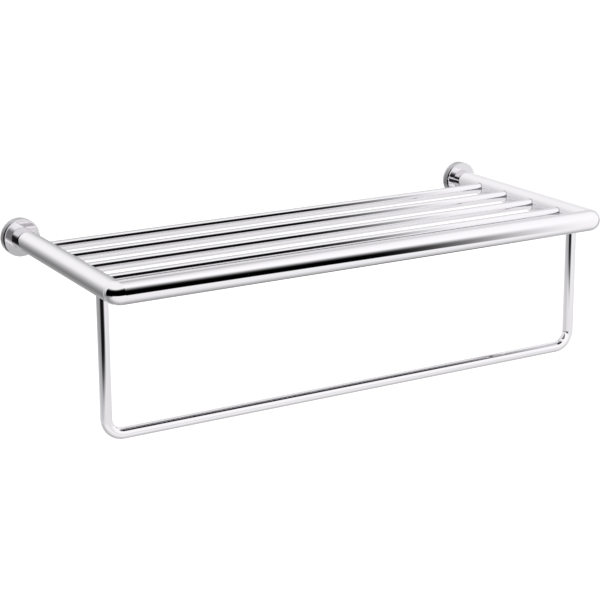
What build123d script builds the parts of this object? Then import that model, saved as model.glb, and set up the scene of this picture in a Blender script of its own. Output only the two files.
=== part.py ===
from build123d import *

import os

# Wall-mounted towel rack: a rectangular tube frame with four shelf rails between its two
# arms, and a U-bent towel bar hung below them. Millimetres. The origin lies on the wall
# plane, midway between the two arm axes. +X runs along the rails, +Y into the wall, +Z up.

# Overall
WIDTH = 600.0  # across the outsides of the two arms
REACH = 261.0  # wall plane to the axis of the front tube

# Frame tube: both arms and the front tube
FRAME_R = 11.7
FRAME_WALL = 1.2
CORNER_R = 5.0  # axis radius of the dressed outside of a mitred corner
MITRE_TURN = 45.0  # each tube turns half of the corner's right angle

# Shelf rails
RAIL_COUNT = 4
RAIL_R = 6.0
RAIL_WALL = 1.0
RAIL_PITCH = 49.9
FIRST_RAIL = 63.4  # wall plane to the axis of the rail nearest to it

# Towel bar
BAR_R = 6.0
BAR_WALL = 1.0
BAR_REACH = 226.3  # wall plane to the bar's upright plane
BAR_DROP = 155.2  # arm axes down to the bar's axis
BAR_BEND_R = 18.0

# Joints between tubes: a thin tube stands in a drilled hole in a frame tube
SPIGOT = 5.0
JOINT_GAP = 0.05

# Wall plate: a disc with a ring boss, screwed to the wall
FLANGE_R = 20.8
PLATE_THICK = 2.3
PLATE_EDGE = 0.4
BOSS_R = 17.5
BOSS_BORE_R = 15.0
BOSS_HEIGHT = 5.0
WALL_SCREW_HOLE_R = 2.25
WALL_SCREW_SPACING = 22.0

# Flange cover: a cup that slides over the boss and carries the arm
FLANGE_DEPTH = 10.8  # wall plane to the front face of the cover
COVER_FACE = 3.0
COVER_FRONT_EDGE = 1.8
COVER_BACK_EDGE = 0.5
FIT_GAP = 0.05
ARM_SEAT = 1.0  # depth of the recess that centres the arm's end

# Set screw, M4: clamps the cover to the boss from below
SET_SCREW_R = 2.0
SET_SCREW_LENGTH = 3.0
SET_SCREW_TIP_GAP = 0.02
SET_SCREW_FROM_WALL = 5.2
SET_SCREW_KEY = 2.0  # across the flats of its hexagon socket
SET_SCREW_KEY_DEPTH = 1.6
SET_SCREW_EDGE = 0.3

# Flange bolt, M6, its spring washer, and the threaded plug that it draws the arm in by
BOLT_R = 2.95
BOLT_HEAD_R = 5.0
BOLT_HEAD_HEIGHT = 3.6
BOLT_KEY = 4.0
BOLT_KEY_DEPTH = 2.0
BOLT_LENGTH = 16.0
BOLT_EDGE = 0.4
WASHER_R = 5.4
WASHER_HOLE_R = 3.15
WASHER_THICK = 1.2
WASHER_SLIT = 1.0
COVER_BOLT_HOLE_R = 3.2
PLUG_R = FRAME_R - FRAME_WALL - JOINT_GAP
PLUG_LENGTH = 14.0
PLUG_THREAD_R = 3.0

# Worked out from the sizes above
ARM_X = WIDTH / 2 - FRAME_R
ARM_START = FLANGE_DEPTH - ARM_SEAT
CAVITY_FRONT = FLANGE_DEPTH - COVER_FACE
CORNER_START = REACH - CORNER_R
CORNER_X = ARM_X - CORNER_R
RAIL_HALF = ARM_X - FRAME_R + SPIGOT
BAR_TOP = -FRAME_R + SPIGOT
BOLT_SEAT = CAVITY_FRONT - WASHER_THICK
RAIL_REACHES = [FIRST_RAIL + number * RAIL_PITCH for number in range(RAIL_COUNT)]
SIDES = {"left": -1, "right": 1}


def save(part, name):
    part.label = name
    export_step(part, f"parts/{name}.step")


def tube_section(x, y, outer_r, wall):
    with Locations((x, y)):
        Circle(outer_r)
        Circle(outer_r - wall, mode=Mode.SUBTRACT)


def mitre(side):
    """The corner's mitre plane, with its normal towards the arm."""
    return Plane(origin=(side * ARM_X, -REACH, 0), z_dir=(side, 1, 0))


def corner_axis(side, turn):
    """The upright line that a corner's rounded outside turns about."""
    return Axis((side * CORNER_X, -CORNER_START, 0), (0, 0, turn))


def make_arm(side):
    outward = Align.MIN if side > 0 else Align.MAX
    with BuildPart() as arm:
        with BuildSketch(Plane.XZ.offset(ARM_START)):
            tube_section(side * ARM_X, 0, FRAME_R, FRAME_WALL)
        extrude(amount=CORNER_START - ARM_START)

        # Outer half of the section, turned to the mitre: the rounded outside of the corner
        with BuildSketch(Plane.XZ.offset(CORNER_START)):
            tube_section(side * ARM_X, 0, FRAME_R, FRAME_WALL)
            with Locations((side * CORNER_X, 0)):
                Rectangle(3 * FRAME_R, 3 * FRAME_R, align=(outward, Align.CENTER), mode=Mode.INTERSECT)
        revolve(axis=corner_axis(side, -side), revolution_arc=MITRE_TURN)
        split(bisect_by=mitre(side), keep=Keep.TOP)

        # Holes for the rails, in the side that faces the other arm
        with BuildSketch(Plane.YZ.offset(side * (ARM_X - 2 * FRAME_R))):
            with Locations(*[(-reach, 0) for reach in RAIL_REACHES]):
                Circle(RAIL_R + JOINT_GAP)
        extrude(amount=side * 2 * FRAME_R, mode=Mode.SUBTRACT)

        # Hole for the towel bar's end, in the underside
        with BuildSketch(Plane.XY.offset(-2 * FRAME_R)):
            with Locations((side * ARM_X, -BAR_REACH)):
                Circle(BAR_R + JOINT_GAP)
        extrude(amount=2 * FRAME_R, mode=Mode.SUBTRACT)
    return arm.part


def make_wall_plate(side):
    with BuildPart() as plate:
        with BuildSketch(Plane.XZ):
            with Locations((side * ARM_X, 0)):
                Circle(FLANGE_R)
        extrude(amount=PLATE_THICK)
        rims = plate.edges().filter_by(GeomType.CIRCLE)
        chamfer(rims, length=PLATE_EDGE)

        with BuildSketch(Plane.XZ.offset(PLATE_THICK)):
            tube_section(side * ARM_X, 0, BOSS_R, BOSS_R - BOSS_BORE_R)
        extrude(amount=BOSS_HEIGHT)

        with BuildSketch(Plane.XZ):
            with Locations((side * ARM_X, 0)):
                with GridLocations(0, WALL_SCREW_SPACING, 1, 2):
                    Circle(WALL_SCREW_HOLE_R)
        extrude(amount=PLATE_THICK, mode=Mode.SUBTRACT)
    return plate.part


def make_flange_cover(side):
    with BuildPart() as cover:
        with BuildSketch(Plane.XZ.offset(PLATE_THICK)):
            with Locations((side * ARM_X, 0)):
                Circle(FLANGE_R)
        extrude(amount=FLANGE_DEPTH - PLATE_THICK)
        back_rim, front_rim = cover.edges().filter_by(GeomType.CIRCLE).sort_by(Axis.Y, reverse=True)
        fillet(front_rim, radius=COVER_FRONT_EDGE)
        chamfer(back_rim, length=COVER_BACK_EDGE)

        # Cavity that slides over the boss
        with BuildSketch(Plane.XZ.offset(PLATE_THICK)):
            with Locations((side * ARM_X, 0)):
                Circle(BOSS_R + FIT_GAP)
        extrude(amount=CAVITY_FRONT - PLATE_THICK, mode=Mode.SUBTRACT)

        # Recess for the arm's end, and the bolt's hole behind it
        with BuildSketch(Plane.XZ.offset(ARM_START)):
            with Locations((side * ARM_X, 0)):
                Circle(FRAME_R + JOINT_GAP)
        extrude(amount=ARM_SEAT, mode=Mode.SUBTRACT)
        with BuildSketch(Plane.XZ.offset(CAVITY_FRONT)):
            with Locations((side * ARM_X, 0)):
                Circle(COVER_BOLT_HOLE_R)
        extrude(amount=COVER_FACE, mode=Mode.SUBTRACT)

        # Threaded hole for the set screw, from below into the cavity
        with BuildSketch(Plane.XY.offset(-FLANGE_R)):
            with Locations((side * ARM_X, -SET_SCREW_FROM_WALL)):
                Circle(SET_SCREW_R + FIT_GAP)
        extrude(amount=FLANGE_R - BOSS_BORE_R, mode=Mode.SUBTRACT)
    return cover.part


def make_set_screw(side):
    tip_z = -(BOSS_R + SET_SCREW_TIP_GAP)
    end_z = tip_z - SET_SCREW_LENGTH
    with BuildPart() as screw:
        with BuildSketch(Plane.XY.offset(end_z)):
            with Locations((side * ARM_X, -SET_SCREW_FROM_WALL)):
                Circle(SET_SCREW_R)
        extrude(amount=SET_SCREW_LENGTH)
        chamfer(screw.edges().filter_by(GeomType.CIRCLE), length=SET_SCREW_EDGE)

        with BuildSketch(Plane.XY.offset(end_z)):
            with Locations((side * ARM_X, -SET_SCREW_FROM_WALL)):
                RegularPolygon(radius=SET_SCREW_KEY / 2, side_count=6, major_radius=False)
        extrude(amount=SET_SCREW_KEY_DEPTH, mode=Mode.SUBTRACT)
    return screw.part


def make_flange_bolt(side):
    head_back = BOLT_SEAT - BOLT_HEAD_HEIGHT
    with BuildPart() as bolt:
        with BuildSketch(Plane.XZ.offset(head_back)):
            with Locations((side * ARM_X, 0)):
                Circle(BOLT_HEAD_R)
        extrude(amount=BOLT_HEAD_HEIGHT)
        chamfer(bolt.edges().filter_by(GeomType.CIRCLE), length=BOLT_EDGE)

        with BuildSketch(Plane.XZ.offset(BOLT_SEAT)):
            with Locations((side * ARM_X, 0)):
                Circle(BOLT_R)
        extrude(amount=BOLT_LENGTH)
        tip = bolt.edges().filter_by(GeomType.CIRCLE).sort_by(Axis.Y)[0]
        chamfer(tip, length=BOLT_EDGE)

        with BuildSketch(Plane.XZ.offset(head_back)):
            with Locations((side * ARM_X, 0)):
                RegularPolygon(radius=BOLT_KEY / 2, side_count=6, major_radius=False)
        extrude(amount=BOLT_KEY_DEPTH, mode=Mode.SUBTRACT)
    return bolt.part


def make_spring_washer(side):
    with BuildPart() as washer:
        with BuildSketch(Plane.XZ.offset(BOLT_SEAT)):
            tube_section(side * ARM_X, 0, WASHER_R, WASHER_R - WASHER_HOLE_R)
            with Locations((side * ARM_X, 0)):
                Rectangle(WASHER_SLIT, 2 * WASHER_R, align=(Align.CENTER, Align.MIN), mode=Mode.SUBTRACT)
        extrude(amount=WASHER_THICK)
    return washer.part


def make_arm_end_plug(side):
    with BuildPart() as plug:
        with BuildSketch(Plane.XZ.offset(ARM_START)):
            tube_section(side * ARM_X, 0, PLUG_R, PLUG_R - PLUG_THREAD_R)
        extrude(amount=PLUG_LENGTH)
    return plug.part


os.makedirs("parts", exist_ok=True)

for side_name, side_sign in SIDES.items():
    save(make_wall_plate(side_sign), f"{side_name}_wall_plate")
    save(make_flange_cover(side_sign), f"{side_name}_flange_cover")
    save(make_set_screw(side_sign), f"{side_name}_set_screw")
    save(make_flange_bolt(side_sign), f"{side_name}_flange_bolt")
    save(make_spring_washer(side_sign), f"{side_name}_spring_washer")
    save(make_arm_end_plug(side_sign), f"{side_name}_arm_end_plug")
    save(make_arm(side_sign), f"{side_name}_arm")

with BuildPart() as front_tube:
    with BuildSketch(Plane.YZ.offset(-CORNER_X)):
        tube_section(-REACH, 0, FRAME_R, FRAME_WALL)
    extrude(amount=2 * CORNER_X)
    for side_sign in SIDES.values():
        with BuildSketch(Plane.YZ.offset(side_sign * CORNER_X)):
            tube_section(-REACH, 0, FRAME_R, FRAME_WALL)
            with Locations((-CORNER_START, 0)):
                Rectangle(3 * FRAME_R, 3 * FRAME_R, align=(Align.MAX, Align.CENTER), mode=Mode.INTERSECT)
        revolve(axis=corner_axis(side_sign, side_sign), revolution_arc=MITRE_TURN)
        split(bisect_by=mitre(side_sign), keep=Keep.BOTTOM)
save(front_tube.part, "front_tube")

for number, rail_reach in enumerate(RAIL_REACHES, start=1):
    with BuildPart() as shelf_rail:
        with BuildSketch(Plane.YZ.offset(-RAIL_HALF)):
            tube_section(-rail_reach, 0, RAIL_R, RAIL_WALL)
        extrude(amount=2 * RAIL_HALF)
    save(shelf_rail.part, f"shelf_rail_{number}")

with BuildPart() as towel_bar:
    with BuildLine(Plane.XZ.offset(BAR_REACH)):
        FilletPolyline(
            (-ARM_X, BAR_TOP),
            (-ARM_X, -BAR_DROP),
            (ARM_X, -BAR_DROP),
            (ARM_X, BAR_TOP),
            radius=BAR_BEND_R,
        )
    with BuildSketch(Plane.XY.offset(BAR_TOP)):
        tube_section(-ARM_X, -BAR_REACH, BAR_R, BAR_WALL)
    sweep()
save(towel_bar.part, "towel_bar")
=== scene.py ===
import math

import bmesh
import bpy
from mathutils import Matrix, Vector


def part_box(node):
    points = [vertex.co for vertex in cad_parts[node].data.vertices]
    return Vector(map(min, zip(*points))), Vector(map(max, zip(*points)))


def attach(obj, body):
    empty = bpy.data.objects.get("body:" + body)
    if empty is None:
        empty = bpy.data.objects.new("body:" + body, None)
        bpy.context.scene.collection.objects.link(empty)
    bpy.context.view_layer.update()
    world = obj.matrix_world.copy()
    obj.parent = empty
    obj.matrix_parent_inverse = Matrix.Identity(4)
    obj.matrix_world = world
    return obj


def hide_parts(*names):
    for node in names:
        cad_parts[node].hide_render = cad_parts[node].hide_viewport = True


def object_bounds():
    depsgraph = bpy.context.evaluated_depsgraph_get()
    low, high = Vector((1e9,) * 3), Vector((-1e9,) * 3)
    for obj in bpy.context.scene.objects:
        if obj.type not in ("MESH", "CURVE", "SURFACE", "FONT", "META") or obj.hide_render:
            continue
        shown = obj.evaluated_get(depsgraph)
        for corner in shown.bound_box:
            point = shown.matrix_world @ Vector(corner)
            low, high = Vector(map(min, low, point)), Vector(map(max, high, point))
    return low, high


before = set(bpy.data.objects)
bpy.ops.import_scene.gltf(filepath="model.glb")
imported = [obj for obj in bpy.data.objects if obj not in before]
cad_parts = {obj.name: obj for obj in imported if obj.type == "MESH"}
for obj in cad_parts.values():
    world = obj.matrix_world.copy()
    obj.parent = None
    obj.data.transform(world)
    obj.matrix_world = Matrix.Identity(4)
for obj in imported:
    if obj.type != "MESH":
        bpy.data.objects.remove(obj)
cad_low, cad_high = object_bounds()

# A chromed towel rack: a mitred tube frame, four shelf rails and a U-bent towel bar, on two
# round wall flanges. The wall is the plane y = 0 and the rack reaches along -Y. Metres.

MM = 0.001
SIDES = {"left": -1, "right": 1}
Z_AXIS = Vector((0, 0, 1))
FORWARD = Vector((0, -1, 0))


# ---------------------------------------------------------------- sizes
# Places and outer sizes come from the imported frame; the rest are lengths it does not state.
def middle(node_name):
    """Centre of a CAD node's box."""
    low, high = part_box(node_name)
    return (low + high) / 2


def size(node_name):
    """Lengths of a CAD node's box."""
    low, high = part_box(node_name)
    return high - low


PLUG_SIZE = size("left_arm_end_plug")
ARM_X = middle("right_arm_end_plug").x
ARM_START = -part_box("left_arm")[1].y
FRAME_R = size("front_tube").z / 2
PLUG_PLAY = 0.05 * MM
FRAME_WALL = FRAME_R - PLUG_SIZE.x / 2 - PLUG_PLAY
REACH = -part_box("front_tube")[0].y - FRAME_R
CORNER_R = 5.0 * MM

RAILS = sorted(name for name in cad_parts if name.startswith("shelf_rail"))
RAIL_R = size(RAILS[0]).z / 2
RAIL_HALF = size(RAILS[0]).x / 2
RAIL_WALL = 1.0 * MM

BAR_R = size("towel_bar").y / 2
BAR_Y = middle("towel_bar").y
BAR_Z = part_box("towel_bar")[0].z + BAR_R
BAR_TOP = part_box("towel_bar")[1].z
BAR_WALL = 1.0 * MM
BAR_BEND_R = 18.0 * MM

COVER_FRONT = -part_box("left_flange_cover")[0].y
BEAD_SIZE = 0.4 * MM
SEAT_BEAD = 0.2 * MM

THREAD_DEPTH = 0.6  # of the pitch
SOCKET_CONE = 0.15  # of the socket's depth
SCREW_PITCH = 0.7 * MM
SCREW_EDGE = 0.3 * MM
SCREW_CUP = 0.62  # of the thread's root radius
SCREW_CUP_DEPTH = 0.5  # of the cup's radius
SCREW_KEY = 2.0 * MM
SCREW_KEY_DEPTH = 1.6 * MM
BOLT_PITCH = 1.0 * MM
BOLT_EDGE = 0.4 * MM
BOLT_R = 2.95 * MM
BOLT_HEAD_DEPTH = 3.6 * MM
BOLT_KEY = 4.0 * MM
BOLT_KEY_DEPTH = 2.0 * MM
WASHER_SLIT = 1.6 * MM
WASHER_LEAN = math.radians(5)
WASHER_EDGE = 0.2 * MM
WASHER_HOLE_R = 3.15 * MM
PLUG_THREAD_R = 3.0 * MM
PLUG_EDGE = 0.6 * MM
KNURLS = 40
KNURL_DEPTH = 0.15 * MM


# ---------------------------------------------------------------- mesh building
FINENESS = 1e7  # per metre; places that agree so closely are one point


class Surface:
    """Points and faces of one piece, with the true normal kept at each corner of each face."""

    def __init__(self):
        self.points = []
        self.faces = []
        self.normals = []
        self.found = {}

    def point(self, place):
        """The number of the point at a place, which is added if it is new."""
        key = tuple(round(value * FINENESS) for value in place)
        if key not in self.found:
            self.found[key] = len(self.points)
            self.points.append(place)
        return self.found[key]

    def face(self, corners):
        """One face through (place, normal) corners; corners that fall together are merged."""
        kept = []
        for place, normal in corners:
            number = self.point(place)
            if number not in [other for other, _ in kept]:
                kept.append((number, normal))
        if len(kept) < 3:
            return
        first, second, third = (Vector(self.points[number]) for number, _ in kept[:3])
        flat = (second - first).cross(third - first)
        if flat.dot(sum((normal for _, normal in kept), Vector())) < 0:
            kept.reverse()
        self.faces.append([number for number, _ in kept])
        self.normals.extend(normal for _, normal in kept)

    def grid(self, rows, closed=True):
        """Faces between neighbouring rows of (place, normal); closed rows run all the way round."""
        for row, next_row in zip(rows, rows[1:]):
            steps = len(row) if closed else len(row) - 1
            for here in range(steps):
                there = (here + 1) % len(row)
                self.face([row[here], row[there], next_row[there], next_row[here]])

    def band(self, row, next_row, normal):
        """Flat faces between two closed rows, such as the cut end of a tube."""
        flat = [[(place, normal) for place, _ in line] for line in (row, next_row)]
        self.grid(flat)

    def finish(self, name):
        """The object, linked to the scene."""
        mesh = bpy.data.meshes.new(name)
        mesh.from_pydata([tuple(place) for place in self.points], [], self.faces)
        mesh.shade_smooth()
        mesh.normals_split_custom_set([tuple(normal) for normal in self.normals])
        mesh.validate(clean_customdata=False)
        piece = bpy.data.objects.new(name, mesh)
        bpy.context.scene.collection.objects.link(piece)
        return piece


def around(count):
    """Angles all the way round."""
    return [math.tau * number / count for number in range(count)]


def circle(centre, side, up, radius, count, inward=False):
    """One closed row on a circle, with normals that point out of it or into it."""
    row = []
    for angle in around(count):
        direction = math.cos(angle) * side + math.sin(angle) * up
        row.append((centre + radius * direction, -direction if inward else direction))
    return row


def tube(surface, stations, radius, wall, count):
    """A tube with cut ends along stations, each (centre, side, up)."""
    outer = [circle(*station, radius, count) for station in stations]
    inner = [circle(*station, radius - wall, count, inward=True) for station in stations]
    surface.grid(outer)
    surface.grid(inner)
    for end in (0, -1):
        centre, side, up = stations[end]
        neighbour = stations[1 if end == 0 else -2][0]
        surface.band(outer[end], inner[end], (centre - neighbour).normalized())


# ---------------------------------------------------------------- pieces
TUBE_SIDES = 96
CORNER_STEPS = 16
STRAIGHT_STEPS = 24
BEAD_STEPS = 6
SCREW_SIDES = 120
THREAD_STEPS = 12
WASHER_STEPS = 72


def mitred_row(side, along, across, start, end_share, turn, radius, inward):
    """One row round a frame tube that runs towards a corner.

    along is the tube's direction to the corner and across points out of the rack. end_share
    places the row on the straight part and turn on the rounded outside of the corner."""
    turn_centre = Vector((side * (ARM_X - CORNER_R), -(REACH - CORNER_R), 0))
    crossing = Vector((side * ARM_X, -REACH, 0))
    row = []
    for angle in around(TUBE_SIDES):
        out = radius * math.cos(angle)
        height = radius * math.sin(angle) * Z_AXIS
        if out > -CORNER_R:
            direction = math.cos(turn) * across + math.sin(turn) * along
            end = turn_centre + (out + CORNER_R) * direction + height
        else:
            end = crossing + out * (across + along) + height
            direction = across
        flat_start = start + out * across + height
        place = flat_start.lerp(end, end_share)
        normal = math.cos(angle) * direction + math.sin(angle) * Z_AXIS
        row.append((place, -normal if inward else normal))
    return row


def mitred_rows(side, along, across, start, radius, inward=False):
    """Rows from start along the straight part, then round the corner to the mitre."""
    turns = [math.radians(45) * step / CORNER_STEPS for step in range(1, CORNER_STEPS + 1)]
    shares = [step / STRAIGHT_STEPS for step in range(STRAIGHT_STEPS + 1)]
    rows = [mitred_row(side, along, across, start, share, 0, radius, inward) for share in shares]
    rows += [mitred_row(side, along, across, start, 1, turn, radius, inward) for turn in turns]
    return rows


def arm(name, side):
    """A frame tube from inside its cover to the mitred corner."""
    surface = Surface()
    out = Vector((side, 0, 0))
    start = Vector((side * ARM_X, -ARM_START, 0))
    outer = mitred_rows(side, FORWARD, out, start, FRAME_R)
    inner = mitred_rows(side, FORWARD, out, start, FRAME_R - FRAME_WALL, inward=True)
    surface.grid(outer)
    surface.grid(inner)
    surface.band(outer[0], inner[0], -FORWARD)
    surface.band(outer[-1], inner[-1], (FORWARD - out).normalized())
    return surface.finish(name)


def front_tube(name):
    """A frame tube with a mitred, rounded corner at each end."""
    surface = Surface()
    start = Vector((0, -REACH, 0))
    for side in SIDES.values():
        out = Vector((side, 0, 0))
        outer = mitred_rows(side, out, FORWARD, start, FRAME_R)
        inner = mitred_rows(side, out, FORWARD, start, FRAME_R - FRAME_WALL, inward=True)
        surface.grid(outer)
        surface.grid(inner)
        surface.band(outer[-1], inner[-1], (out - FORWARD).normalized())
    return surface.finish(name)


def rail(name, node_name):
    """A straight slim tube between the two arms."""
    surface = Surface()
    y = middle(node_name).y
    steps = 2 * STRAIGHT_STEPS
    stations = []
    for step in range(steps + 1):
        x = RAIL_HALF * (2 * step / steps - 1)
        stations.append((Vector((x, y, 0)), FORWARD, Z_AXIS))
    tube(surface, stations, RAIL_R, RAIL_WALL, TUBE_SIDES)
    return surface.finish(name)


def towel_bar(name):
    """One tube: down from the left arm, across and up to the right arm, with two bends."""
    surface = Surface()
    stations = []
    bend_steps = 2 * CORNER_STEPS
    low = BAR_Z + BAR_BEND_R
    inner_x = ARM_X - BAR_BEND_R
    for step in range(STRAIGHT_STEPS):
        z = BAR_TOP + (low - BAR_TOP) * step / STRAIGHT_STEPS
        stations.append((Vector((-ARM_X, BAR_Y, z)), FORWARD, Vector((-1, 0, 0))))
    for step in range(bend_steps + 1):
        turn = math.radians(90) * step / bend_steps
        out = Vector((-math.cos(turn), 0, -math.sin(turn)))
        centre = Vector((-inner_x, BAR_Y, low)) + BAR_BEND_R * out
        stations.append((centre, FORWARD, out))
    for step in range(1, 2 * STRAIGHT_STEPS):
        x = -inner_x + 2 * inner_x * step / (2 * STRAIGHT_STEPS)
        stations.append((Vector((x, BAR_Y, BAR_Z)), FORWARD, Vector((0, 0, -1))))
    for step in range(bend_steps + 1):
        turn = math.radians(90) * step / bend_steps
        out = Vector((math.sin(turn), 0, -math.cos(turn)))
        centre = Vector((inner_x, BAR_Y, low)) + BAR_BEND_R * out
        stations.append((centre, FORWARD, out))
    for step in range(1, STRAIGHT_STEPS + 1):
        z = low + (BAR_TOP - low) * step / STRAIGHT_STEPS
        stations.append((Vector((ARM_X, BAR_Y, z)), FORWARD, Vector((1, 0, 0))))
    tube(surface, stations, BAR_R, BAR_WALL, TUBE_SIDES)
    return surface.finish(name)


def smooth_grid(surface, rows, closed=True):
    """A grid through rows of places, with normals worked out from their neighbours.

    The rows turn and climb so that across x along points out of the piece."""
    count = len(rows[0])
    lines = []
    for number, row in enumerate(rows):
        before, after = rows[max(number - 1, 0)], rows[min(number + 1, len(rows) - 1)]
        line = []
        for step, place in enumerate(row):
            left, right = row[step - 1], row[(step + 1) % count]
            line.append((place, (right - left).cross(after[step] - before[step]).normalized()))
        lines.append(line)
    surface.grid(lines, closed)


def sharp_grid(surface, rows):
    """A grid of flat faces, for the walls of a hexagon."""
    count = len(rows[0])
    for line, next_line in zip(rows, rows[1:]):
        for here in range(count):
            there = (here + 1) % count
            corners = [line[here], line[there], next_line[there], next_line[here]]
            normal = (corners[1] - corners[0]).cross(corners[3] - corners[0]).normalized()
            surface.face([(place, normal) for place in corners])


def wire_skin(surface, rows, closed):
    """Strips between rows that run side by side along a ring or a wire; each keeps its edges."""
    pairs = list(zip(rows, rows[1:] + rows[:1]))
    section = sum((row[0].cross(next_row[0]) for row, next_row in pairs), Vector())
    sign = -1 if section.dot(rows[0][1] - rows[0][0]) > 0 else 1
    last = len(rows[0]) - 1
    for row, next_row in pairs:
        line, next_line = [], []
        for step, here in enumerate(row):
            before = row[step - 1] if closed else row[max(step - 1, 0)]
            after = row[(step + 1) % len(row)] if closed else row[min(step + 1, last)]
            normal = sign * (after - before).cross(next_row[step] - here).normalized()
            line.append((here, normal))
            next_line.append((next_row[step], normal))
        surface.grid([line, next_line], closed)


def saddle_ring(surface, centre, out, other):
    """The small fillet where a slim tube, leaving centre along out, meets a frame tube."""
    along = Vector((0, 1, 0))
    rings = [math.cos(angle) * along + math.sin(angle) * other for angle in around(TUBE_SIDES)]
    foot_r = RAIL_R + BEAD_SIZE
    root_r = RAIL_R - RAIL_WALL / 2

    def reach(radius, ring):
        """How far out the frame tube's surface is, radius away from the slim tube's axis."""
        return math.sqrt(FRAME_R ** 2 - (radius * ring.dot(other)) ** 2)

    rows = []
    for step in range(BEAD_STEPS + 1):
        share = step / BEAD_STEPS
        row = []
        for ring in rings:
            meeting = centre + reach(RAIL_R, ring) * out + RAIL_R * ring
            collar = meeting + BEAD_SIZE * out
            foot = centre + reach(foot_r, ring) * out + foot_r * ring
            near, between, far = (1 - share) ** 2, 2 * share * (1 - share), share ** 2
            row.append(near * collar + between * meeting + far * foot)
        rows.append(row)
    rows.append([centre + (reach(root_r, ring) - BEAD_SIZE) * out + root_r * ring for ring in rings])
    wire_skin(surface, rows, closed=True)


def seat_ring(surface, side):
    """The hairline fillet where an arm leaves its cover."""
    centre = Vector((side * ARM_X, -COVER_FRONT, 0))
    rings = [Vector((math.cos(angle), 0, math.sin(angle))) for angle in around(TUBE_SIDES)]
    rows = []
    for step in range(BEAD_STEPS + 1):
        share = step / BEAD_STEPS
        radius = FRAME_R + SEAT_BEAD * share ** 2
        forward = SEAT_BEAD * (1 - share) ** 2
        rows.append([centre + radius * ring + forward * FORWARD for ring in rings])
    rows.append([centre + (FRAME_R - SEAT_BEAD) * ring - SEAT_BEAD * FORWARD for ring in rings])
    wire_skin(surface, rows, closed=True)


def joint_beads_and_painted_shade(name, side):
    """The brazed joints of one arm, in a darker metal that is painted contact shade: its four rails,
    the towel bar's end and its own root.
    """
    surface = Surface()
    for node_name in RAILS:
        centre = Vector((side * ARM_X, middle(node_name).y, 0))
        saddle_ring(surface, centre, Vector((-side, 0, 0)), Z_AXIS)
    saddle_ring(surface, Vector((side * ARM_X, BAR_Y, 0)), -Z_AXIS, Vector((1, 0, 0)))
    seat_ring(surface, side)
    return surface.finish(name)


def tooth(share):
    """A thread's profile from 0 at its root to 1 at its crest, with short flats on both."""
    return min(1.0, max(0.0, 1.5 - 4 * abs((share % 1.0) - 0.5)))


def hexagon(across, angle):
    """Distance from the axis to the side of a hexagon, across its flats."""
    sector = (math.degrees(angle) + 30) % 60 - 30
    return across / 2 / math.cos(math.radians(sector))


class Turned:
    """A screw-like piece built up along its axis, from one end to the other."""

    def __init__(self, base, axis, side):
        self.surface = Surface()
        self.base, self.axis, self.side = base, axis, side
        self.across = axis.cross(side)

    def row(self, along, radius):
        """Places round the axis; radius is a length, or a function of the angle."""
        places = []
        for angle in around(SCREW_SIDES):
            here = radius(angle) if callable(radius) else radius
            ring = math.cos(angle) * self.side + math.sin(angle) * self.across
            places.append(self.base + along * self.axis + here * ring)
        return places

    def skin(self, profile):
        """Rings through (along, radius) steps; each step is flat or a cone, with its own edge."""
        rows = [self.row(along, radius) for along, radius in profile]
        for line, next_line in zip(rows, rows[1:]):
            smooth_grid(self.surface, [line, next_line])

    def thread(self, start, end, crest, depth, pitch, inward=False):
        """A helical thread between two places along the axis, which fades out at both ends.

        Its phase comes from the place in the rack, so that a screw's and a nut's thread mesh."""
        steps = max(2, round(abs(end - start) / pitch * THREAD_STEPS))
        rows = []
        for step in range(steps + 1):
            along = start + (end - start) * step / steps
            phase = (self.base.dot(self.axis) + along) / pitch
            ramp = min(1.0, step / THREAD_STEPS, (steps - step) / THREAD_STEPS)

            def radius(angle, phase=phase, ramp=ramp):
                height = tooth(phase - angle / math.tau)
                groove = (1 - height) * ramp if inward else 1 - height * ramp
                return crest - depth * groove

            rows.append(self.row(along, radius))
        smooth_grid(self.surface, rows)

    def cap(self, along, height, radius, outward):
        """A shallow cone that closes an end; outward is +1 if it looks along the axis."""
        rim = self.row(along, radius)
        tip = self.base + (along + height) * self.axis
        for step in range(len(rim)):
            corners = [rim[step], rim[(step + 1) % len(rim)], tip]
            normal = outward * self.axis
            self.surface.face([(place, normal) for place in corners])


def hex_socket(turned, depth, across, outer):
    """The starting end of a piece: a flat ring, outer wide, round a hexagon socket."""
    def outline(angle):
        return hexagon(across, angle)

    smooth_grid(turned.surface, [turned.row(0, outline), turned.row(0, outer)])
    sharp_grid(turned.surface, [turned.row(depth, outline), turned.row(0, outline)])
    turned.cap(depth, depth * SOCKET_CONE, outline, -1)


def set_screw(name, node_name):
    """A short hexagon-socket screw with a cup point, driven from below."""
    low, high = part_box(node_name)
    radius = (high.x - low.x) / 2
    length = high.z - low.z
    depth = SCREW_PITCH * THREAD_DEPTH
    edge = SCREW_EDGE
    base = Vector(((low.x + high.x) / 2, (low.y + high.y) / 2, low.z))
    turned = Turned(base, Z_AXIS, Vector((1, 0, 0)))
    root = radius - depth
    rim = root - edge / 3
    hex_socket(turned, SCREW_KEY_DEPTH, SCREW_KEY, rim)
    turned.skin([(0, rim), (edge, root)])
    turned.thread(edge, length - edge, radius, depth, SCREW_PITCH)
    cup = root * SCREW_CUP
    turned.skin([(length - edge, root), (length, root - edge), (length, cup)])
    turned.cap(length, -cup * SCREW_CUP_DEPTH, cup, 1)
    return turned.surface.finish(name)


def knurl(radius):
    """A knurled outline whose ridges reach radius."""
    def outline(angle):
        return radius - KNURL_DEPTH * (0.5 - 0.5 * math.cos(KNURLS * angle))

    return outline


def knurled_band(turned, start, end, radius, lead):
    """A knurled band that fades into plain rims over lead at both ends."""
    rim = radius - KNURL_DEPTH
    smooth_grid(turned.surface, [turned.row(start, rim), turned.row(start + lead, knurl(radius)),
                                 turned.row(end - lead, knurl(radius)), turned.row(end, rim)])


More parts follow.
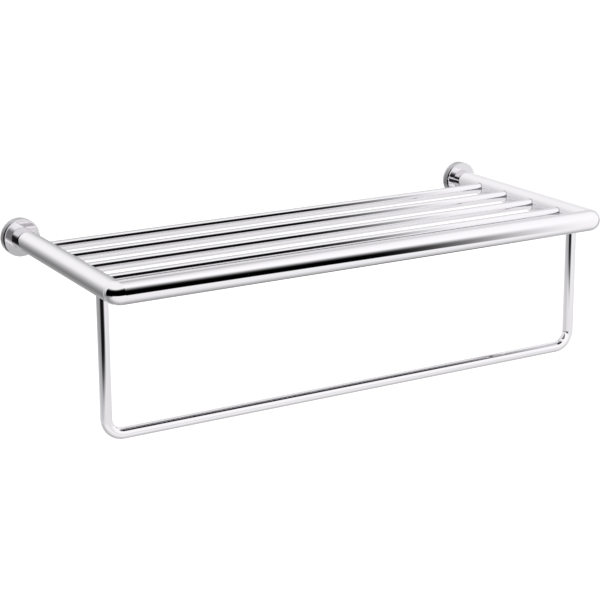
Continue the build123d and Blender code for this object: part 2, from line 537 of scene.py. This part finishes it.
def flange_bolt(name, node_name):
    """A socket-head screw: a knurled head on the wall side and a threaded shank."""
    low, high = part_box(node_name)
    head_r = (high.x - low.x) / 2
    length = high.y - low.y
    depth = BOLT_PITCH * THREAD_DEPTH
    edge = BOLT_EDGE
    base = Vector(((low.x + high.x) / 2, high.y, (low.z + high.z) / 2))
    turned = Turned(base, FORWARD, Vector((1, 0, 0)))
    waist = head_r - KNURL_DEPTH
    rim = waist - edge
    root = BOLT_R - depth
    hex_socket(turned, BOLT_KEY_DEPTH, BOLT_KEY, rim)
    turned.skin([(0, rim), (edge, waist)])
    knurled_band(turned, edge, BOLT_HEAD_DEPTH - edge, head_r, edge)
    turned.skin([(BOLT_HEAD_DEPTH - edge, waist), (BOLT_HEAD_DEPTH, rim), (BOLT_HEAD_DEPTH, BOLT_R),
                 (BOLT_HEAD_DEPTH + edge, root)])
    turned.thread(BOLT_HEAD_DEPTH + edge, length - edge, BOLT_R, depth, BOLT_PITCH)
    turned.skin([(length - edge, root), (length, root - edge)])
    turned.cap(length, 0, root - edge, 1)
    return turned.surface.finish(name)


def spring_washer(name, node_name):
    """A split washer of square wire with broken edges; its cut is at the top and leans."""
    low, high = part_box(node_name)
    outer = (high.x - low.x) / 2
    centre = Vector(((low.x + high.x) / 2, (low.y + high.y) / 2, low.z + outer))
    wire_r = (outer + WASHER_HOLE_R) / 2
    wide = (outer - WASHER_HOLE_R) / 2
    deep = (high.y - low.y) / 2
    near_wide, near_deep = wide - WASHER_EDGE, deep - WASHER_EDGE
    section = [(wide, near_deep), (near_wide, deep), (-near_wide, deep), (-wide, near_deep),
               (-wide, -near_deep), (-near_wide, -deep), (near_wide, -deep), (wide, -near_deep)]
    gap = math.asin(WASHER_SLIT / 2 / outer)
    rows = []
    for out, forward in section:
        row = []
        for step in range(WASHER_STEPS + 1):
            turn = math.pi / 2 + gap + (math.tau - 2 * gap) * step / WASHER_STEPS
            turn += WASHER_LEAN * forward / deep
            radius = wire_r + out
            spot = Vector((radius * math.cos(turn), -forward, radius * math.sin(turn)))
            row.append(centre + spot)
        rows.append(row)
    surface = Surface()
    wire_skin(surface, rows, closed=False)
    for end, neighbour in ((0, 1), (-1, -2)):
        normal = (rows[0][end] - rows[0][neighbour]).normalized()
        surface.face([(row[end], normal) for row in rows])
    return surface.finish(name)


def end_plug(name, node_name):
    """A knurled brass insert with a thread through it, fixed in the arm's end."""
    low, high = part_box(node_name)
    outer = (high.x - low.x) / 2
    length = high.y - low.y
    depth = BOLT_PITCH * THREAD_DEPTH
    edge = PLUG_EDGE
    lip = edge / 2
    base = Vector(((low.x + high.x) / 2, high.y, (low.z + high.z) / 2))
    turned = Turned(base, FORWARD, Vector((1, 0, 0)))
    rim = outer - KNURL_DEPTH
    bore = PLUG_THREAD_R
    groove = length / 2
    turned.skin([(lip, bore), (0, bore + lip), (0, rim - edge), (edge, rim)])
    knurled_band(turned, edge, groove - edge, outer, lip)
    turned.skin([(groove - edge, rim), (groove, rim - edge), (groove + edge, rim)])
    knurled_band(turned, groove + edge, length - edge, outer, lip)
    turned.skin([(length - edge, rim), (length, rim - edge),
                 (length, bore + lip), (length - lip, bore)])
    turned.thread(length - lip, lip, bore, depth, BOLT_PITCH, inward=True)
    return turned.surface.finish(name)


# ---------------------------------------------------------------- camera
CAMERA_AZIMUTH = math.radians(29.959)
CAMERA_ELEVATION = math.radians(13.834)
CAMERA_ROLL = math.radians(-0.242)
CAMERA_DISTANCE = 1.83788
CAMERA_TARGET = Vector((0.0, -0.12035, 0.0))
CAMERA_LENS = 99.80
CAMERA_SENSOR = 36.0
CAMERA_SIGHT = 200.0
CAMERA_SHIFT = (-0.00824, -0.12345)


def make_camera():
    """The photo's camera, as fitted to the outlines of the tubes."""
    data = bpy.data.cameras.new("camera")
    data.lens = CAMERA_LENS
    data.sensor_width = CAMERA_SENSOR
    data.shift_x, data.shift_y = CAMERA_SHIFT
    data.clip_end = CAMERA_SIGHT
    camera = bpy.data.objects.new("camera", data)
    bpy.context.scene.collection.objects.link(camera)
    turn = (Matrix.Rotation(-CAMERA_AZIMUTH, 4, "Z")
            @ Matrix.Rotation(math.pi / 2 - CAMERA_ELEVATION, 4, "X")
            @ Matrix.Rotation(CAMERA_ROLL, 4, "Z"))
    forward = turn.to_3x3() @ Vector((0, 0, -1))
    camera.matrix_world = Matrix.Translation(CAMERA_TARGET - CAMERA_DISTANCE * forward) @ turn
    bpy.context.scene.camera = camera


# ---------------------------------------------------------------- node helpers
def node(tree, kind, inputs=(), **settings):
    """A new shader node. Its inputs are plain values or other nodes' outputs."""
    made = tree.nodes.new(kind)
    for name, value in settings.items():
        setattr(made, name, value)
    for key, value in dict(inputs).items():
        if isinstance(value, bpy.types.NodeSocket):
            tree.links.new(value, made.inputs[key])
        else:
            made.inputs[key].default_value = value
    return made


def maths(tree, operation, *values):
    """The output of one maths node."""
    return node(tree, "ShaderNodeMath", enumerate(values), operation=operation).outputs[0]


def product(tree, *factors):
    """All factors multiplied."""
    result = factors[0]
    for factor in factors[1:]:
        result = maths(tree, "MULTIPLY", result, factor)
    return result


def ease(tree, value, start, end):
    """0 at start and 1 at end, eased, whichever of the two is larger."""
    made = node(tree, "ShaderNodeMapRange", interpolation_type="SMOOTHSTEP",
                inputs={"Value": value, "From Min": start, "From Max": end})
    return made.outputs[0]


# ---------------------------------------------------------------- materials
# Scales are features per metre, roughness runs between two ends, and bumps have a depth.
CHROME = (0.885, 0.868, 0.897)
CHROME_PALE = (0.893, 0.877, 0.902)
ZINC = (0.58, 0.59, 0.61)
ZINC_PALE = (0.68, 0.69, 0.70)
STEEL = (0.56, 0.55, 0.53)
STEEL_DARK = (0.40, 0.39, 0.38)
BRASS = (0.80, 0.58, 0.24)
BRASS_DARK = (0.70, 0.50, 0.20)
# The joint beads' two greys, mixed at random, are darker than the chrome as painted shade for the
# contact line where the tubes meet.
BRAZE_AND_PAINTED_SHADE = (0.62, 0.60, 0.62)
BRAZE_DARK_AND_PAINTED_SHADE = (0.44, 0.43, 0.44)

CHROME_TINT_SCALE = 12.0
CHROME_RIPPLE_SCALE = 160.0
ZINC_GRAIN_SCALE = 900.0
ZINC_LINE_SCALE = 700.0
ZINC_LINE_STRETCH = (1, 1, 0.04)
STEEL_MARK_SCALE = 900.0
STEEL_MARK_STRETCH = (1, 0.2, 1)
STEEL_SHADE_SCALE = 300.0
BRASS_RING_SCALE = 800.0
BRASS_TARNISH_SCALE = 240.0
BRASS_WEAR_SCALE = 500.0
BRAZE_LUMP_SCALE = 1200.0
FINE = 0.01 * MM
COARSE = 0.02 * MM


def metal_base(name, colour):
    """A metal, its node tree and shader, and the object's own coordinates."""
    material = bpy.data.materials.new(name)
    material.use_nodes = True
    tree = material.node_tree
    shader = tree.nodes["Principled BSDF"]
    shader.inputs["Base Color"].default_value = (*colour, 1)
    shader.inputs["Metallic"].default_value = 1.0
    place = node(tree, "ShaderNodeTexCoord").outputs["Object"]
    return material, tree, shader, place


def noise(tree, place, scale, detail=2.0, stretch=(1, 1, 1)):
    """Noise with features of about 1 / scale metres."""
    mapped = node(tree, "ShaderNodeMapping", {"Vector": place, "Scale": stretch}).outputs[0]
    made = node(tree, "ShaderNodeTexNoise", {"Vector": mapped, "Scale": scale, "Detail": detail})
    return made.outputs[0]


def spread(tree, value, low, high):
    """Noise, which stays near a half, spread between low and high."""
    made = node(tree, "ShaderNodeMapRange", {"Value": value, "From Min": 0.3, "From Max": 0.7,
                                             "To Min": low, "To Max": high})
    return made.outputs[0]


def roughen(tree, shader, value, low, high):
    """The roughness, from low to high along a noise."""
    tree.links.new(spread(tree, value, low, high), shader.inputs["Roughness"])


def bump(tree, shader, height, strength, distance):
    """Relief from a height between 0 and 1, distance deep."""
    made = node(tree, "ShaderNodeBump", {"Height": height, "Strength": strength, "Distance": distance})
    tree.links.new(made.outputs[0], shader.inputs["Normal"])


def tint(tree, shader, value, first, second):
    """The base colour, from first to second along value."""
    made = node(tree, "ShaderNodeMix", {"Factor": value, "A": (*first, 1), "B": (*second, 1)},
                data_type="RGBA")
    tree.links.new(made.outputs[2], shader.inputs["Base Color"])


def chrome(name, polish_scale, haze_most, ripple):
    """Polished chrome plate: faint polishing haze, the plate's slow ripple, and a slight tint."""
    material, tree, shader, place = metal_base(name, CHROME)
    haze = noise(tree, place, polish_scale, detail=4.0)
    roughen(tree, shader, haze, haze_most / 3, haze_most)
    tint(tree, shader, noise(tree, place, CHROME_TINT_SCALE), CHROME, CHROME_PALE)
    bump(tree, shader, noise(tree, place, CHROME_RIPPLE_SCALE, detail=1.0), ripple, COARSE)
    return material


def satin_zinc():
    """Zinc plate: small cool grains of two greys, with fine rolling lines."""
    material, tree, shader, place = metal_base("satin_zinc", ZINC)
    grains = node(tree, "ShaderNodeTexVoronoi", {"Vector": place, "Scale": ZINC_GRAIN_SCALE})
    lines = noise(tree, place, ZINC_LINE_SCALE, detail=3.0, stretch=ZINC_LINE_STRETCH)
    tint(tree, shader, grains.outputs["Color"], ZINC, ZINC_PALE)
    roughen(tree, shader, lines, 0.24, 0.42)
    bump(tree, shader, lines, 0.15, COARSE)
    return material


def stainless():
    """Plain stainless fixings: turning marks round the axis, and darker in places."""
    material, tree, shader, place = metal_base("stainless", STEEL)
    marks = noise(tree, place, STEEL_MARK_SCALE, stretch=STEEL_MARK_STRETCH)
    tint(tree, shader, noise(tree, place, STEEL_SHADE_SCALE), STEEL, STEEL_DARK)
    roughen(tree, shader, marks, 0.12, 0.24)
    bump(tree, shader, marks, 0.03, FINE)
    return material


def turned_brass():
    """Turned brass: fine rings along the turning, and a little tarnish."""
    material, tree, shader, place = metal_base("turned_brass", BRASS)
    wave = {"Vector": place, "Scale": BRASS_RING_SCALE, "Distortion": 0.6}
    rings = node(tree, "ShaderNodeTexWave", wave, bands_direction="Y").outputs[1]
    tint(tree, shader, noise(tree, place, BRASS_TARNISH_SCALE, detail=4.0), BRASS, BRASS_DARK)
    roughen(tree, shader, noise(tree, place, BRASS_WEAR_SCALE), 0.16, 0.36)
    bump(tree, shader, rings, 0.2, COARSE)
    return material


def braze_and_painted_shade():
    """A darker metal for the joint beads, a little uneven: the darkness is painted shade for the
    contact line where the tubes meet.
    """
    material, tree, shader, place = metal_base("braze_and_painted_shade", BRAZE_AND_PAINTED_SHADE)
    lumps = noise(tree, place, BRAZE_LUMP_SCALE, detail=3.0)
    tint(tree, shader, lumps, BRAZE_AND_PAINTED_SHADE, BRAZE_DARK_AND_PAINTED_SHADE)
    roughen(tree, shader, lumps, 0.15, 0.35)
    bump(tree, shader, lumps, 0.2, COARSE)
    return material


# ---------------------------------------------------------------- studio
# Chrome shows nothing but its surroundings, so each group of pieces stands in a light tent of
# its own: a sphere that only that group's reflections see. Its light is a soft gradient round
# the tube's axis, as (degrees, display level) stops, with dark cards in it.
TENT_R = 45.0
TENT_GAP = 0.5
NEAR_TENT_R = 1.4
TENT_SEGMENTS = 192
SHELL_R = 100.0
SHELL_SEGMENTS = 32
REFLECTANCE = 0.88
DISPLAY_GAMMA = 2.2
FLOOR_Z = -2.3
FLOOR_R = 50.0
FLOOR_SEGMENTS = 128
FLOOR_SCALE = 3.0
FLOOR_ROUGHNESS = 0.9
FLOOR_DULL = (0.86, 0.86, 0.86)
FLOOR_PALE = (0.90, 0.90, 0.90)
OVERHEAD_PLACE = (0.5, -0.5, 4.0)
OVERHEAD_POWER = 1.2
OVERHEAD_SPREAD = math.radians(30)
FRONT_PLACE = (-1.5, -2.5, 2.0)
FRONT_POWER = 30.0
FRONT_WIDTH = 3.0

BLACK = 3  # the display level of the darkest cards
FRONT_LEFT = [(-180, 205), (-155, 186), (-145, 181), (-135, 166), (-125, 149), (-115, 146),
              (-105, 158), (-95, 178), (-85, 199), (-75, 216), (-60, 233), (-20, 240), (50, 252),
              (70, 252), (85, 246), (95, 236), (105, 225), (115, 206), (125, 188), (135, 184),
              (145, 200), (155, 218), (165, 236), (175, 240), (180, 232)]
FRONT_RIGHT = [(-180, 212), (-145, 200), (-125, 168), (-105, 180), (-85, 212), (-65, 234), (-40, 244),
               (50, 252), (100, 247), (120, 232), (135, 214), (150, 213), (180, 214)]
RAIL_LEFT = [(-180, 185), (-160, 206), (-140, 248), (-120, 245), (-100, 214), (-82, 205), (-60, 230),
             (-30, 232), (0, 194), (20, 204), (80, 240), (100, 248), (115, 228), (135, 198), (155, 178),
             (170, 178), (180, 185)]
RAIL_RIGHT = [(-180, 204), (-160, 234), (-140, 248), (-110, 236), (-80, 216), (-60, 228), (-30, 226),
              (0, 228), (30, 246), (100, 248), (130, 222), (160, 206), (180, 204)]
BAR_LEFT = [(-180, 229), (-145, 213), (-120, 196), (-95, 178), (-80, 192), (-60, 223), (-40, 238),
            (0, 248), (45, 250), (104, 250), (112, 243), (135, 218), (150, 216), (180, 240)]
BAR_RIGHT = [(-180, 229), (-145, 213), (-120, 197), (-95, 179), (-80, 190), (-55, 220), (-30, 238),
             (0, 248), (45, 250), (112, 240), (135, 226), (150, 226), (180, 240)]
UPRIGHTS = [(-180, 210), (-165, 192), (-150, 172), (-135, 164), (-120, 160), (-105, 155),
            (-90, 148), (-75, 160), (-60, 210), (-30, 236), (30, 234), (60, 230), (80, 222),
            (100, 224), (120, 234), (150, 238), (180, 222)]
LEFT_ARM = [(-180, 170), (-135, 172), (-120, 165), (-105, 160), (-90, 152), (-75, 143), (-60, 130),
            (-45, 123), (-35, 127), (-22, 140), (-8, 163), (7, 189), (22, 215), (35, 235), (60, 243),
            (95, 240), (112, 230), (128, 216), (142, 200), (158, 184), (180, 172)]
RIGHT_ARM = [(-180, 226), (-135, 212), (-90, 210), (-60, 196), (-38, 188), (-15, 198), (10, 207),
             (30, 219), (45, 227), (60, 238), (100, 242), (130, 230), (150, 230), (180, 238)]
FLANGE = [(-180, 205), (-140, 190), (-90, 170), (-40, 112), (0, 122), (40, 150), (90, 190), (142, 180),
          (180, 200)]


def level(value):
    """A display level, 0 to 255, as the tents keep it until their light is worked out."""
    return value / 255


class Sky:
    """The direction that a point of a tent lies in, as node outputs.

    x, y and z are its parts, from -1 to 1. The rest are angles: round_x and round_y round those
    axes, heading round Z from straight ahead, and height over the horizon."""

    def __init__(self, tree):
        self.tree = tree
        place = node(tree, "ShaderNodeTexCoord").outputs["Object"]
        unit = node(tree, "ShaderNodeVectorMath", {0: place}, operation="NORMALIZE").outputs[0]
        self.x, self.y, self.z = node(tree, "ShaderNodeSeparateXYZ", {0: unit}).outputs
        minus_x = maths(tree, "MULTIPLY", self.x, -1.0)
        minus_y = maths(tree, "MULTIPLY", self.y, -1.0)
        self.round_x = maths(tree, "ARCTAN2", self.z, minus_y)
        self.round_y = maths(tree, "ARCTAN2", self.z, minus_x)
        self.heading = maths(tree, "ARCTAN2", self.x, minus_y)
        self.height = maths(tree, "ARCSINE", self.z)

    def ease(self, value, start, end):
        """0 at start and 1 at end, which are in degrees."""
        return ease(self.tree, value, math.radians(start), math.radians(end))

    def ramp(self, value, start, end):
        """0 at start and 1 at end, for x, y or z."""
        return ease(self.tree, value, start, end)

    def add(self, *terms):
        return maths(self.tree, "ADD", *terms)

    def lean(self, base, slope, value):
        """base degrees plus slope times value, for an edge that isn't level."""
        return maths(self.tree, "MULTIPLY_ADD", value, slope, math.radians(base))

    def past(self, value, edge, soft):
        """1 where value is over an edge that leans, 0 under it; soft is in degrees."""
        return self.ease(maths(self.tree, "SUBTRACT", value, edge), -soft, soft)

    def product(self, *factors):
        return product(self.tree, *factors)

    def mix(self, share, first, second):
        """first where share is 0, second where it is 1."""
        inputs = {"Factor": share, "A": first, "B": second}
        return node(self.tree, "ShaderNodeMix", inputs, data_type="FLOAT").outputs[0]

    def between(self, start, full, fading, end):
        """1 from full to fading along x, eased to 0 at start and end."""
        return self.product(self.ramp(self.x, start, full), self.ramp(self.x, end, fading))

    def levels(self, angle, stops):
        """A gradient along an angle, through (degrees, display level) stops."""
        share = maths(self.tree, "MULTIPLY_ADD", angle, 1 / math.tau, 0.5)
        made = node(self.tree, "ShaderNodeValToRGB", {"Fac": share})
        elements = made.color_ramp.elements
        elements.remove(elements[-1])
        for number, (degrees, display) in enumerate(stops):
            position = degrees / 360 + 0.5
            element = elements[0] if number == 0 else elements.new(position)
            element.position = position
            element.color = (*[level(display)] * 3, 1)
        return made.outputs[0]


# The functions below make the tents' light. Their numbers are places in a tent, in degrees or
# from -1 to 1, between which a gradient or the edge of a card runs.
def frame_light(sky, for_front):
    """Gradients round X ahead of the rack, and round Y behind it, where mostly the arms look."""
    rightward = sky.ramp(sky.x, 0.38, 0.60)
    ahead = sky.mix(rightward, sky.levels(sky.round_x, FRONT_LEFT),
                    sky.levels(sky.round_x, FRONT_RIGHT))
    corner = sky.product(sky.ramp(sky.x, 0.33, 0.2), sky.ease(sky.height, 0, 14))
    ahead = sky.mix(corner, ahead, level(242))
    aside = sky.ramp(sky.x, 0, -0.15)
    leftmost = sky.add(sky.ramp(sky.y, 0.80, 0.865),
                       sky.product(aside, sky.ramp(sky.y, 0.75, 0.70)))
    behind = sky.mix(leftmost, sky.levels(sky.round_y, RIGHT_ARM),
                     sky.levels(sky.round_y, LEFT_ARM))
    share = sky.ramp(sky.y, 0.60, 0.73)
    if for_front:
        share = sky.product(share, sky.ramp(sky.x, 0.36, 0.28))
    else:
        turned = sky.product(aside, sky.ramp(sky.y, -0.50, -0.38), sky.ease(sky.height, -32, -18))
        share = maths(sky.tree, "MAXIMUM", share, turned)
    return sky.mix(share, ahead, behind)


def frame_card(sky):
    """A tilted dark card ahead of the rack, and its level left part, which the corners see."""
    tree = sky.tree
    tilted_edge = maths(tree, "MULTIPLY_ADD", sky.x, 1.04, sky.z)
    tilted_edge = maths(tree, "MULTIPLY_ADD", sky.y, 0.203, tilted_edge)
    top = sky.lean(41, math.radians(-110), maths(tree, "SUBTRACT", sky.x, 0.38))
    front = sky.product(sky.ramp(tilted_edge, -0.09, 0.03), sky.past(top, sky.round_x, 24),
                        sky.ramp(sky.x, 0.632, 0.503))
    side_bottom = sky.lean(-12, 0.06, sky.heading)
    side_top = sky.lean(46.5, 0.14, maths(tree, "MINIMUM", sky.heading, 0.0))
    side = sky.product(sky.past(sky.height, side_bottom, 2), sky.past(side_top, sky.height, 12),
                       sky.ease(sky.heading, -118, -115), sky.ease(sky.heading, 70, 50))
    return sky.mix(sky.ramp(sky.x, 0.33, 0.37), side, front)


def front_sky(sky):
    """The front tube's light, with its black card over it."""
    return sky.mix(frame_card(sky), frame_light(sky, for_front=True), level(BLACK))


def arm_sky(sky):
    """As for the front tube. Nearer the middle the card is only a grey veil, which the covers
    show again in their picture of each arm."""
    light = frame_light(sky, for_front=False)
    top = sky.lean(105, math.radians(91), sky.y)
    veil = sky.product(sky.ease(sky.height, -34, -24), sky.past(top, sky.height, 12),
                       sky.ease(sky.heading, 2, -20), sky.ease(sky.heading, -75, -55),
                       sky.ramp(sky.x, -0.597, -0.583))
    grey = sky.mix(sky.ramp(sky.y, -0.84, -0.88), level(40), level(115))
    light = sky.mix(veil, light, grey)
    black = sky.product(frame_card(sky), sky.ease(sky.heading, -42, -56))
    return sky.mix(black, light, level(BLACK))


def rail_sky(sky):
    """A narrow dark card over the rails, in three lengths, gives each rail its black line."""
    rightward = sky.ramp(sky.x, 0.38, 0.60)
    light = sky.mix(rightward, sky.levels(sky.round_x, RAIL_LEFT),
                    sky.levels(sky.round_x, RAIL_RIGHT))
    places = sky.add(sky.between(0.325, 0.355, 0.475, 0.57), sky.between(-0.4, -0.3, 0.1, 0.2))
    places = sky.add(places, sky.ramp(sky.x, 0.63, 0.69))
    card = sky.product(sky.ease(sky.round_x, 22, 26), sky.ease(sky.round_x, 84, 69), places)
    return sky.mix(card, light, level(20))


def bar_sky(sky):
    """The bar's own card lies over it. Its two upright ends see a belt lower down, with a grey
    left flank and the lower edge of a card that fades away to the right."""
    rightward = sky.ramp(sky.x, 0.30, 0.70)
    light = sky.mix(rightward, sky.levels(sky.round_x, BAR_LEFT),
                    sky.levels(sky.round_x, BAR_RIGHT))
    belt = sky.product(sky.ease(sky.height, -32, -24), sky.ease(sky.height, -5, -11))
    lower = sky.product(sky.ease(sky.height, -12.5, -21.5), 0.75)
    light = sky.mix(belt, light, sky.mix(lower, sky.levels(sky.heading, UPRIGHTS), level(220)))
    places = sky.add(sky.between(0.10, 0.17, 0.55, 0.78), sky.ramp(sky.x, -0.25, -0.35))
    over = sky.product(sky.ease(sky.round_x, 34, 51), sky.ease(sky.round_x, 110, 84), places)
    low = sky.product(sky.ease(sky.height, -18.8, -14.2), sky.ease(sky.height, -4, -9),
                      sky.ease(sky.heading, 40, -38), sky.ease(sky.heading, -82, -58),
                      sky.ramp(sky.x, 0.1, -0.35))
    return sky.mix(low, sky.mix(over, light, level(2)), level(24))


def flange_sky(sky):
    """Ahead, where the covers' faces look, grey below a leaning edge and paler above it. Two
    cards: one to the left for the covers' rounded edges, one where their faces show the arms'
    roots."""
    sides = sky.levels(sky.round_y, FLANGE)
    middle_height = sky.lean(-16.1, 0.11, sky.heading)
    faces = sky.mix(sky.past(sky.height, middle_height, 0.4), level(178), level(222))
    light = sky.mix(sky.ramp(sky.y, 0.1, -0.1), sides, faces)
    rim = sky.product(sky.ease(sky.heading, -141, -133), sky.ease(sky.heading, -36, -46),
                      sky.ease(sky.height, -60, -52), sky.ease(sky.height, 66, 40))
    top = sky.lean(-24, -1.35, sky.heading)
    root = sky.product(sky.ease(sky.height, -27, -19), sky.past(top, sky.height, 11),
                       sky.ease(sky.heading, -5, -19), sky.ease(sky.heading, -120, -110))
    light = sky.mix(root, light, level(30))
    return sky.mix(rim, light, level(10))


def plate_sky(sky):
    """Only a little of the wall plates shows, so a plain gradient is enough."""
    return sky.mix(sky.ease(sky.height, -50, 40), level(165), level(240))


def stage_object(name, build):
    """An object from a finished bmesh, linked to the scene."""
    mesh = bpy.data.meshes.new(name)
    build.to_mesh(mesh)
    build.free()
    made = bpy.data.objects.new(name, mesh)
    bpy.context.scene.collection.objects.link(made)
    return made


def sphere(name, radius, segments):
    """A sphere round the origin, with half as many rings as segments."""
    build = bmesh.new()
    bmesh.ops.create_uvsphere(build, u_segments=segments, v_segments=segments // 2, radius=radius)
    return stage_object(name, build)


def empty_material(name):
    """A material without nodes, and its tree."""
    material = bpy.data.materials.new(name)
    material.use_nodes = True
    material.node_tree.nodes.clear()
    return material, material.node_tree


def seen_in_reflections_only(made):
    """Hide it from all but glossy rays."""
    made.visible_camera = False
    made.visible_diffuse = False
    made.visible_shadow = False
    made.visible_transmission = False


def tent(name, radius, receivers, make_sky):
    """A glowing sphere round the rack that only the receivers' reflections see."""
    made = sphere(name, radius, TENT_SEGMENTS)
    made.data.shade_smooth()
    made.location = (cad_low + cad_high) / 2
    material, tree = empty_material(name)
    light = maths(tree, "POWER", make_sky(Sky(tree)), DISPLAY_GAMMA)
    glow = node(tree, "ShaderNodeEmission", {"Color": light, "Strength": 1 / REFLECTANCE})
    clear = node(tree, "ShaderNodeBsdfTransparent")
    both = node(tree, "ShaderNodeAddShader", {0: glow.outputs[0], 1: clear.outputs[0]})
    node(tree, "ShaderNodeOutputMaterial", {"Surface": both.outputs[0]})
    material.cycles.emission_sampling = "NONE"
    made.data.materials.append(material)
    seen_by = bpy.data.collections.new(name + "_seen_by")
    for receiver in receivers:
        seen_by.objects.link(receiver)
    made.light_linking.receiver_collection = seen_by
    seen_in_reflections_only(made)


def black_shell():
    """Ends every reflection outside the tents, so that the white room adds nothing to them."""
    shell = sphere("black_shell", SHELL_R, SHELL_SEGMENTS)
    material, tree = empty_material("black_shell")
    glow = node(tree, "ShaderNodeEmission", {"Color": (0, 0, 0, 1)})
    node(tree, "ShaderNodeOutputMaterial", {"Surface": glow.outputs[0]})
    shell.data.materials.append(material)
    seen_in_reflections_only(shell)


def white_floor():
    """A pale floor far below the rack."""
    build = bmesh.new()
    bmesh.ops.create_circle(build, cap_ends=True, segments=FLOOR_SEGMENTS, radius=FLOOR_R)
    floor = stage_object("floor", build)
    floor.location.z = FLOOR_Z
    material = bpy.data.materials.new("pale_floor")
    material.use_nodes = True
    tree = material.node_tree
    shader = tree.nodes["Principled BSDF"]
    place = node(tree, "ShaderNodeTexCoord").outputs["Object"]
    tint(tree, shader, noise(tree, place, FLOOR_SCALE), FLOOR_DULL, FLOOR_PALE)
    shader.inputs["Roughness"].default_value = FLOOR_ROUGHNESS
    floor.data.materials.append(material)
    floor.visible_glossy = False


def soft_light(name, data, place, power):
    """A light that points at the rack and shows in no reflection."""
    data.energy = power
    light = bpy.data.objects.new(name, data)
    light.location = place
    light.rotation_euler = (-Vector(place)).to_track_quat("-Z", "Y").to_euler()
    light.visible_glossy = False
    light.visible_camera = False
    bpy.context.scene.collection.objects.link(light)


def make_studio(groups):
    """A white room, a tent for each group, the shell round them, the floor and two lights."""
    world = bpy.data.worlds.new("white_room")
    bpy.context.scene.world = world
    world.use_nodes = True
    world.node_tree.nodes["Background"].inputs["Color"].default_value = (1, 1, 1, 1)
    for name, radius, receivers, make_sky in groups:
        tent(f"{name}_tent", radius, receivers, make_sky)
    black_shell()
    white_floor()
    overhead = bpy.data.lights.new("overhead_softbox", "SUN")
    overhead.angle = OVERHEAD_SPREAD
    soft_light("overhead_softbox", overhead, OVERHEAD_PLACE, OVERHEAD_POWER)
    ahead = bpy.data.lights.new("front_softbox", "AREA")
    ahead.size = FRONT_WIDTH
    soft_light("front_softbox", ahead, FRONT_PLACE, FRONT_POWER)
    bpy.context.scene.view_settings.view_transform = "Standard"


# ---------------------------------------------------------------- assembly
frame_chrome = chrome("chrome_frame", polish_scale=60.0, haze_most=0.045, ripple=0.05)
slim_chrome = chrome("chrome_slim", polish_scale=110.0, haze_most=0.02, ripple=0.02)
cover_chrome = chrome("chrome_covers", polish_scale=180.0, haze_most=0.045, ripple=0.05)
zinc = satin_zinc()
steel = stainless()
brass = turned_brass()
filler_and_painted_shade = braze_and_painted_shade()


def hand_over(piece, body, slot, material, *nodes):
    """Finish a piece: its material, its body, and the CAD nodes it stands for, which are hidden. The
    slot is not used.
    """
    piece.data.materials.append(material)
    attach(piece, body)
    if nodes:
        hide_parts(*nodes)
    return piece


def hand_over_on_rack(piece, slot, material, *nodes):
    """The same, for a piece of the body that slides off the wall plates."""
    return hand_over(piece, "rack", slot, material, *nodes)


arms = []
fixings = []
for side_name, side_sign in SIDES.items():
    made = arm(f"{side_name}_arm_tube", side_sign)
    arms.append(hand_over_on_rack(made, "chrome_frame", frame_chrome, f"{side_name}_arm"))
    node_name = f"{side_name}_set_screw"
    made = set_screw(f"{side_name}_grub_screw", node_name)
    fixings.append(hand_over(made, f"{side_name}_screw", "fixing_steel", steel, node_name))
    node_name = f"{side_name}_flange_bolt"
    made = flange_bolt(f"{side_name}_socket_head_bolt", node_name)
    fixings.append(hand_over_on_rack(made, "fixing_steel", steel, node_name))
    node_name = f"{side_name}_spring_washer"
    made = spring_washer(f"{side_name}_split_washer", node_name)
    fixings.append(hand_over_on_rack(made, "fixing_steel", steel, node_name))
    node_name = f"{side_name}_arm_end_plug"
    made = end_plug(f"{side_name}_threaded_insert", node_name)
    fixings.append(hand_over_on_rack(made, "turned_brass", brass, node_name))
    # The joint beads' darker metal paints the contact shade round each joint.
    made = joint_beads_and_painted_shade(f"{side_name}_joint_beads_and_painted_shade", side_sign)
    fixings.append(hand_over_on_rack(made, "chrome_frame", filler_and_painted_shade))

front = hand_over_on_rack(front_tube("front_frame_tube"), "chrome_frame", frame_chrome, "front_tube")
rails = []
for node_name in RAILS:
    made = rail(f"{node_name}_tube", node_name)
    rails.append(hand_over_on_rack(made, "chrome_rails", slim_chrome, node_name))
bar = hand_over_on_rack(towel_bar("towel_bar_tube"), "chrome_rails", slim_chrome, "towel_bar")

covers = []
plates = []
for node_name, cad_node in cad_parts.items():
    if not cad_node.hide_render:
        group, finish = (plates, zinc) if "wall_plate" in node_name else (covers, cover_chrome)
        cad_node.data.materials.clear()
        cad_node.data.materials.append(finish)
        group.append(cad_node)

make_camera()
make_studio([
    ("front", TENT_R, [front], front_sky),
    ("arms", TENT_R + TENT_GAP, arms, arm_sky),
    ("rails", TENT_R + 2 * TENT_GAP, rails, rail_sky),
    ("covers", TENT_R + 3 * TENT_GAP, covers + fixings, flange_sky),
    ("plates", TENT_R + 4 * TENT_GAP, plates, plate_sky),
    ("bar", NEAR_TENT_R, [bar], bar_sky),
])
